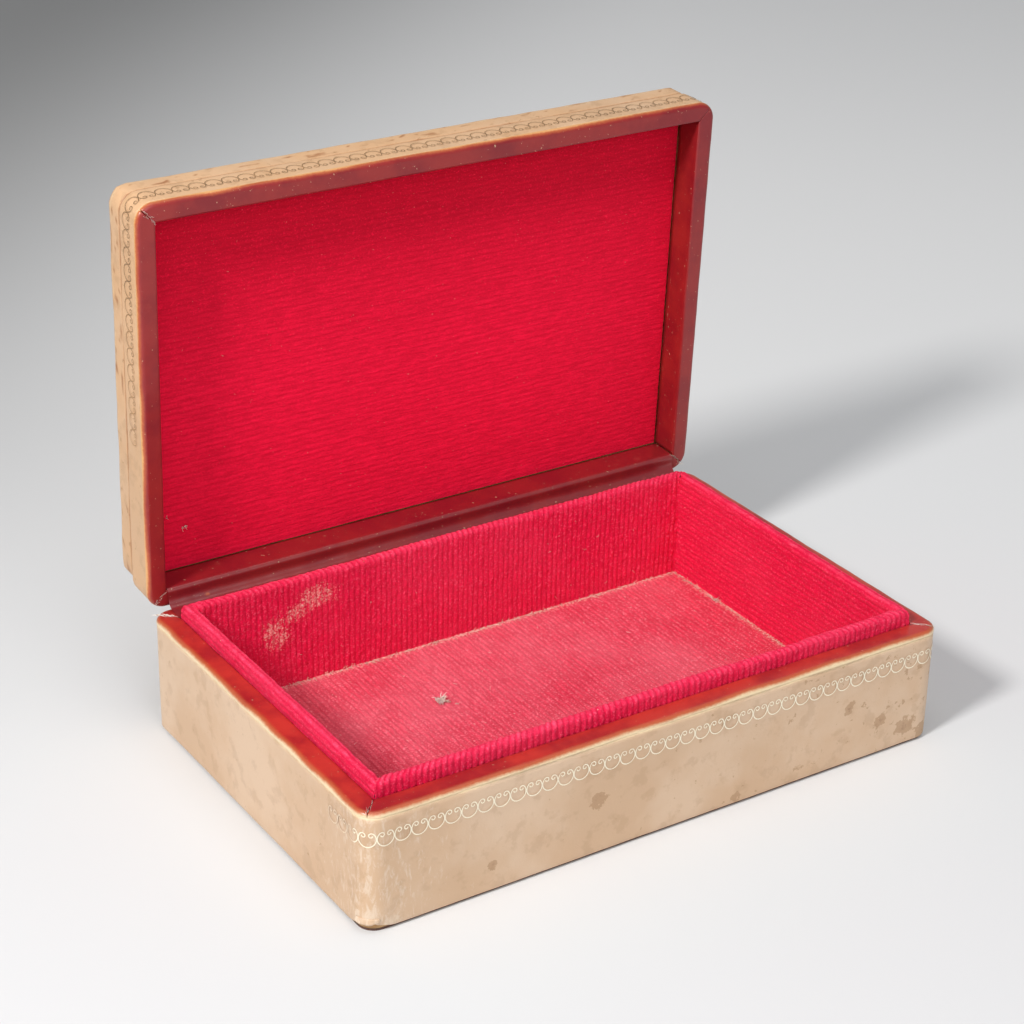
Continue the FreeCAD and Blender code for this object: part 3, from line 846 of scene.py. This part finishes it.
def make_floor_cloth():
    """Faded corduroy floor with ribs from front to back and frayed edges."""
    half_x = HALF_LENGTH - FLOOR_EDGE
    half_y = HALF_DEPTH - FLOOR_EDGE
    columns = round(2 * half_x / RIB_PITCH) * RIB_SAMPLES

    def place(across, along):
        point = Vector(((2 * across - 1) * half_x, (2 * along - 1) * half_y, FLOOR_TOP))
        rib = rib_height(point.x, point, 71.0)
        edge = min(half_x - abs(point.x), half_y - abs(point.y))
        point.z += (rib - 1) * RIB_HEIGHT * 0.8 + abs(ripple(point, 24.0, 0.3, 75.0)) + nap(point)
        wear = min(max(0.0, 1.5 - edge / 3.4), 1.0)
        fade_and_painted_light = 0.10 - 0.08 * point.x / half_x + ripple(point, 30.0, 0.12, 77.0)
        return point, rib, wear, max(0.0, fade_and_painted_light)

    bm = new_sheet(columns, 140, place, CORD_LAYERS)
    piece = add_piece("floor_corduroy", bm, FLOOR_CORD, "base", ["floor_cloth"])
    return piece


def make_lid_lining():
    """Corduroy panel in the lid: flattened ribs along its length, with painted shade deepening its tone at
    its front and right edges.
    """
    half_x = HALF_LENGTH - LINING_EDGE
    half_y = HALF_DEPTH - LINING_EDGE
    rows = round(2 * half_y / RIB_PITCH) * RIB_SAMPLES

    def place(across, along):
        point = Vector(((2 * across - 1) * half_x, (2 * along - 1) * half_y, LID_RIM + LINING_DEPTH))
        rib = rib_height(point.y, point, 81.0)
        # Painted shade near the front and right edges, where the rim shades the lining; away from them the
        # cloth is painted in its paler, lit tone.
        fade_and_painted_light = min(1.0, (point.y + half_y) / 62.0) * min(1.0, 0.62 + (half_x - point.x) / 150.0)
        point.z -= (rib - 1) * RIB_HEIGHT * 0.15 + ripple(point, 40.0, 0.2, 85.0) - 0.1 + nap(point, 0.6)
        return point, rib, 0.0, 0.9 * fade_and_painted_light

    bm = new_sheet(210, rows, place, CORD_LAYERS)
    piece = add_piece("lid_corduroy", bm, LID_CORD, "lid", ["lid_lining_cloth"], flip=True)
    return piece


# Tooled border: a row of scallops whose ends curl in

SCALLOP_PITCH = 5.2
BASE_BORDER_HEIGHT = 29.9
LID_BORDER_HEIGHT = LID_RIM + 6.6
BASE_LINE_WIDTH = 0.34
LID_LINE_WIDTH = 0.2
RUBBED_AWAY = 0.9


def scallop_path():
    """Points of one scallop: a curl, down and round the bowl, and a curl the other way."""
    radius = 0.48 * SCALLOP_PITCH
    curl_radius = 0.9
    bowl = [(radius * math.cos(math.radians(angle)), radius * math.sin(math.radians(angle)))
            for angle in range(-225, 46, 18)]
    turn_in = (radius - curl_radius) * math.cos(math.radians(45))
    curl = []
    for step in range(1, 8):
        angle = math.radians(45 + step * 46)
        shrunk = curl_radius * (1 - 0.085 * step)
        curl.append((turn_in + shrunk * math.cos(angle), turn_in + shrunk * math.sin(angle)))
    mirrored = [(-x, y) for x, y in reversed(curl)]
    return mirrored + bowl + curl


def make_border(body, middle, way, line_width, material, worn):
    """Row of scallops round the case; way is 1 on the base and -1 on the lid, and worn gives the wear."""
    path = scallop_path()
    count = round(OUTLINE / SCALLOP_PITCH)
    bm = bmesh.new()

    for repeat in range(count):
        proud = 0.08 + 0.04 * (repeat % 2)
        centre = (repeat + 0.5) * OUTLINE / count
        if worn(outline(centre, 0.0)[0]) > RUBBED_AWAY:
            continue

        def place(across, along):
            step = round(across * (len(path) - 1))
            here = Vector(path[step])
            before = Vector(path[max(step - 1, 0)])
            after = Vector(path[min(step + 1, len(path) - 1)])
            ahead = (after - before).normalized()
            here = here + Vector((-ahead.y, ahead.x)) * line_width * (along - 0.5)
            point, normal = outline(centre + here.x, 0.0)
            point = point + normal * proud + Vector((0, 0, middle + way * here.y))
            return point, worn(point)

        laid_sheet(bm, len(path) - 1, 1, place, ["wear"])
    return add_piece(f"{body}_scallops", bm, material, body, flip=way < 0)


def base_border_wear(point):
    """The base's border is whole along the front and nearly rubbed away on the other sides."""
    if point.y < -HALF_DEPTH + CORNER_RADIUS:
        return 0.0
    patch = 0.4 * noise.noise((point.x / 12, point.y / 12, 3.0))
    if point.x < -HALF_LENGTH + CORNER_RADIUS:
        return 0.4 + (point.y + HALF_DEPTH) / 30.0 + patch
    return 0.4 + patch


def lid_border_wear(point):
    """The lid's border is rubbed away towards the hinge."""
    fade = 0.78 * min(max(0.0, (point.y + 40.0) / 63.0), 1.0)
    return 0.28 + fade + 0.16 * noise.noise((point.x / 15, point.y / 15, 7.0))


# Frayed threads, fluff and lint

def add_thread(bm, start, stop, sag, thickness, seed):
    """Fine wavy thread from one point to another."""
    steps = 6
    sides = 3
    ahead = (stop - start).normalized()
    side = ahead.orthogonal().normalized()
    above = ahead.cross(side)

    def place(across, along):
        wave = Vector([noise.noise((across * 3, seed, channel)) for channel in (1.0, 5.0, 9.0)]) * sag
        turn = -2 * math.pi * along
        taper = thickness * (1 - 0.6 * across)
        around = side * taper * math.cos(turn) + above * taper * math.sin(turn)
        return (start.lerp(stop, across) + wave + around,)

    laid_sheet(bm, steps, sides, place)


def tangle(bm, rng, middle, reach, count, length, thickness, lean=(0.0, 0.0, 0.3), wave=0.35):
    """Short threads that start round a point and lean one way."""
    for _ in range(count):
        start = Vector(middle) + Vector((rng.uniform(-1, 1) * reach[0], rng.uniform(-1, 1) * reach[1],
                                         rng.uniform(0, 1) * reach[2]))
        way = Vector((rng.uniform(-1, 1), rng.uniform(-1, 1), wave * rng.uniform(-0.5, 1.5))) + Vector(lean)
        stop = start + way.normalized() * length * rng.uniform(0.5, 1.2)
        add_thread(bm, start, stop, wave * length, thickness, rng.uniform(0, 90))


def fray_mitre(bm, rng, corner, height, count, thickness):
    """Pale threads that lie along a worn mitre, from the outer corner inwards."""
    inward = Vector((-math.copysign(1.0, corner[0]), -math.copysign(1.0, corner[1]), 0)).normalized()
    aside = Vector((-inward.y, inward.x, 0))
    for _ in range(count):
        start = Vector((*corner, height)) + inward * rng.uniform(0, 5.0) + aside * rng.uniform(-0.5, 0.5)
        way = inward * rng.choice((-1, 1)) + aside * rng.uniform(-0.5, 0.5)
        add_thread(bm, start, start + way * rng.uniform(0.8, 2.4), 0.12, thickness, rng.uniform(0, 90))


def scatter_lint(bm, rng):
    """Specks of lint on the tray's floor and back wall."""
    half_x = HALF_LENGTH - LINER_INNER - 4.0
    half_y = HALF_DEPTH - LINER_INNER - 4.0
    wall = HALF_DEPTH - LINER_INNER - 0.35
    for _ in range(70):
        start = Vector((rng.uniform(-half_x, half_x), rng.uniform(-half_y, half_y), FLOOR_TOP + 0.3))
        way = Vector((rng.uniform(-1, 1), rng.uniform(-1, 1), 0))
        add_thread(bm, start, start + way * rng.uniform(0.4, 1.6), 0.2, 0.07, rng.uniform(0, 90))
    for _ in range(16):
        start = Vector((rng.uniform(-half_x, half_x), wall, rng.uniform(FLOOR_TOP + 3, LINER_TOP - 4)))
        way = Vector((rng.uniform(-1, 1), 0, rng.uniform(-1, 1)))
        add_thread(bm, start, start + way * rng.uniform(0.4, 1.6), 0.2, 0.06, rng.uniform(0, 90))


def make_base_threads():
    """Pale threads at the base's worn mitres, and fluff and lint in the tray."""
    rng = random.Random(11)
    bm = bmesh.new()
    for corner, count, thickness in (((-MITRE_X, MITRE_Y), 26, 0.09), ((MITRE_X, MITRE_Y), 12, 0.08),
                                     ((-MITRE_X, -MITRE_Y), 6, 0.06), ((MITRE_X, -MITRE_Y), 10, 0.07)):
        fray_mitre(bm, rng, corner, RIM_TOP, count, thickness)
    tangle(bm, rng, (-24.0, 21.0, FLOOR_TOP), (1.5, 1.2, 0.9), 30, 2.2, 0.24)
    tangle(bm, rng, (-21.0, 17.5, FLOOR_TOP), (0.8, 0.8, 0.3), 5, 1.6, 0.08)
    tangle(bm, rng, (88.0, 30.0, FLOOR_TOP), (0.5, 0.8, 0.6), 9, 1.5, 0.16)
    scatter_lint(bm, rng)
    return add_piece("base_loose_threads", bm, THREAD, "base")


def make_lid_threads():
    """Pale threads at the lid's mitres and fluff on its lining; the lid is drawn closed."""
    rng = random.Random(23)
    bm = bmesh.new()
    down = (0.0, 0.0, -1.0)
    for corner, count in (((-MITRE_X, -MITRE_Y), 9), ((MITRE_X, MITRE_Y), 12), ((-MITRE_X, MITRE_Y), 5)):
        fray_mitre(bm, rng, corner, LID_RIM + 0.02, count, 0.06)
    lining = LID_RIM + LINING_DEPTH - 0.2
    tangle(bm, rng, (-83.0, 45.0, lining), (0.5, 0.5, 0.2), 9, 1.3, 0.09, down)
    tangle(bm, rng, (-88.5, 40.5, lining), (0.3, 0.3, 0.2), 3, 0.8, 0.08, down)
    return add_piece("lid_loose_threads", bm, THREAD, "lid")


def make_floor_fray():
    """Frayed cut edge of the floor cloth where it meets the walls."""
    rng = random.Random(37)
    bm = bmesh.new()
    half_x = HALF_LENGTH - LINER_INNER
    half_y = HALF_DEPTH - LINER_INNER
    thread_count = 900
    from_wall = 0.3
    for _ in range(thread_count):
        along = rng.uniform(0, 4 * (half_x + half_y))
        if along < 4 * half_x:
            x = along % (2 * half_x) - half_x
            y = math.copysign(half_y - from_wall, along - 2 * half_x)
        else:
            along -= 4 * half_x
            y = along % (2 * half_y) - half_y
            x = math.copysign(half_x - from_wall, along - 2 * half_y)
        start = Vector((x, y, FLOOR_TOP - 0.1))
        inward = Vector((-math.copysign(1.0, x) if abs(x) > half_x - 1 else 0.0,
                         -math.copysign(1.0, y) if abs(y) > half_y - 1 else 0.0, 0.0))
        stray = Vector((rng.uniform(-1, 1), rng.uniform(-1, 1), rng.uniform(0.1, 0.9)))
        add_thread(bm, start, start + (inward * 0.8 + stray) * rng.uniform(0.5, 1.9), 0.4, 0.13,
                   rng.uniform(0, 90))
    return add_piece("floor_frayed_edge", bm, FRAY, "base")


def make_corner_flap():
    """Torn tongue of leather that stands off the front left foot."""
    root = WRAP_BOTTOM + 3.6

    def place(across, along):
        point, normal = outline(OUTLINE / 2 - STRAIGHT_X - CORNER_ARC * (0.9 - 0.75 * across), 0.0)
        ragged = 0.7 * noise.noise((across * 4, 3.0, 1.0))
        height = root - along * (2.0 + ragged - 1.6 * abs(across - 0.45))
        lift = 0.25 + 0.7 * along * (1 - across)
        return point + normal * lift + Vector((0, 0, height)), 0.0, 0.1, 1.0, 0.0

    bm = new_sheet(14, 4, place, TAN_LAYERS)
    return add_piece("torn_corner_leather", bm, BASE_LEATHER, "base",
                     thickness=FLAP_THICKNESS, flip=True)


# Build the case

make_base_leather()
for side in SIDES:
    make_rim("base", side, BASE_RIM_WIDTH, BASE_TURN_IN, RIM_TOP, 1, BASE_RIM_LEATHER)
    make_rim("lid", side, LID_RIM_WIDTH, LID_TURN_IN, LID_RIM, -1, LID_RIM_LEATHER)
    make_liner_cloth(side)
make_lid_band()
make_lid_panel()
make_hinge_strip()
make_floor_cloth()
make_lid_lining()
make_base_threads()
make_lid_threads()
make_floor_fray()
make_corner_flap()
make_border("base", BASE_BORDER_HEIGHT, 1, BASE_LINE_WIDTH, IVORY_FOIL, base_border_wear)
make_border("lid", LID_BORDER_HEIGHT, -1, LID_LINE_WIDTH, BRONZE_FOIL, lid_border_wear)

# Finishes of the solids that stay
STAYING = {
    "base_sheet": BASE_PAPER,
    "bottom_board": CARCASS_WOOD,
    "floor_card": CARD_STOCK,
    "lid_lining_card": CARD_STOCK,
    "lid_top_board": CARCASS_WOOD,
    "lid_top_pad": CARD_STOCK,
}
for side in SIDES:
    STAYING[f"base_{side}_wall"] = CARCASS_WOOD
    STAYING[f"lid_{side}_wall"] = CARCASS_WOOD
    STAYING[f"liner_card_{side}"] = CARD_STOCK
for node, finish in STAYING.items():
    solid = frame["nodes"][node]
    solid.data.materials.clear()
    solid.data.materials.append(finish)


# Stage, light and camera

# Camera: place in millimetres, turn, tilt and roll in degrees, lens in millimetres
CAMERA_PLACE = Vector((-365.81, -537.15, 395.73))
VIEW_YAW = math.radians(33.29)
VIEW_TILT = math.radians(26.34)
VIEW_ROLL = math.radians(1.12)
LENS = 86.67

# Greys of the stage's paper, painted lighter towards the far sweep, and of the painted shade that falls on
# it towards the far left
PAPER_NEAR = (0.71, 0.715, 0.725, 1.0)
PAPER_FAR = (0.86, 0.86, 0.86, 1.0)
PAPER_LIT = (1.0, 1.0, 1.0, 1.0)
PAPER_DUSK = (0.38, 0.38, 0.38, 1.0)


def make_stage():
    """Pale paper that sweeps up behind the case, painted lighter further away and darker towards the far
    left with painted shade; sizes in metres.
    """
    material, tree, shader = new_finish("stage_paper", 0.9, {"Specular IOR Level": 0.1})
    ground = put(tree, "ShaderNodeTexCoord").outputs["Object"]
    away = put(tree, "ShaderNodeVectorMath", {0: ground, 1: (math.sin(VIEW_YAW), math.cos(VIEW_YAW), 0)},
               operation="DOT_PRODUCT").outputs["Value"]
    aside = put(tree, "ShaderNodeVectorMath", {0: ground, 1: (-math.cos(VIEW_YAW), math.sin(VIEW_YAW), 0)},
                operation="DOT_PRODUCT").outputs["Value"]
    # Painted light and shade: the paper lighter further away, and darker towards the far left.
    paper = mix(tree, level(tree, away, -0.15, 0.6), PAPER_NEAR, PAPER_FAR)
    dusk = level(tree, maths(tree, "ADD", aside, scaled(tree, away, 0.25)), 0.12, 0.52)
    shade = mix(tree, dusk, PAPER_LIT, PAPER_DUSK)
    tree.links.new(mix(tree, 1.0, paper, shade, "MULTIPLY"), shader.inputs["Base Color"])
    reach = 3.0
    back = 1.6
    sweep = 0.9
    points = line_points((-reach, 0), (back, 0), 4)
    points += arc_points((back, sweep), sweep, -90, 0, 16)
    points += line_points((back + sweep, sweep), (back + sweep, reach), 3)
    profile = tidy_profile(points)
    turn = Matrix.Rotation(-VIEW_YAW, 3, "Z")

    def place(across, along):
        y, z = at_share(profile, along)
        return (turn @ Vector(((2 * across - 1) * reach, y, z)),)

    floor = new_object("stage_floor", new_sheet(8, len(profile) - 1, place), material)


def add_light(name, place, aim, size, power, tint=(1.0, 1.0, 1.0)):
    """Round soft light, with its place, aim and size in metres and its power in watts."""
    lamp = bpy.data.lights.new(name, "AREA")
    lamp.shape = "DISK"
    lamp.size = size
    lamp.energy = power
    lamp.color = tint
    holder = bpy.data.objects.new(name, lamp)
    holder.location = place
    holder.rotation_euler = (Vector(aim) - Vector(place)).to_track_quat("-Z", "Y").to_euler()
    bpy.context.scene.collection.objects.link(holder)


def make_camera():
    """Camera at the photo's place, turned, tilted and rolled as it was."""
    data = bpy.data.cameras.new("photo_camera")
    data.lens = LENS
    data.sensor_width = 36.0
    data.clip_start = 0.01
    camera = bpy.data.objects.new("photo_camera", data)
    ahead = Vector((math.sin(VIEW_YAW) * math.cos(VIEW_TILT), math.cos(VIEW_YAW) * math.cos(VIEW_TILT),
                    -math.sin(VIEW_TILT)))
    sideways = Vector((math.cos(VIEW_YAW), -math.sin(VIEW_YAW), 0))
    above = sideways.cross(ahead)
    right = sideways * math.cos(VIEW_ROLL) + above * math.sin(VIEW_ROLL)
    up = above * math.cos(VIEW_ROLL) - sideways * math.sin(VIEW_ROLL)
    turn = Matrix((right, up, -ahead)).transposed()
    camera.matrix_world = Matrix.Translation(CAMERA_PLACE * MM) @ turn.to_4x4()
    bpy.context.scene.collection.objects.link(camera)
    bpy.context.scene.camera = camera


make_stage()
make_camera()
add_light("key_softbox", place=(-1.0, -0.28, 0.95), aim=(0, 0, 0.04), size=0.24, power=15.2,
          tint=(1.0, 0.985, 0.965))
add_light("front_fill", place=(-0.1, -1.3, 0.7), aim=(0, 0, 0.05), size=1.0, power=6.4)
add_light("top_softbox", place=(0.0, -0.2, 1.4), aim=(0, 0, 0), size=1.0, power=4.0)
world = bpy.data.worlds.new("studio")
world.use_nodes = True
background = world.node_tree.nodes["Background"]
background.inputs["Color"].default_value = (0.9, 0.92, 0.95, 1.0)
background.inputs["Strength"].default_value = 0.35
bpy.context.scene.world = world
bpy.context.scene.view_settings.view_transform = "Standard"
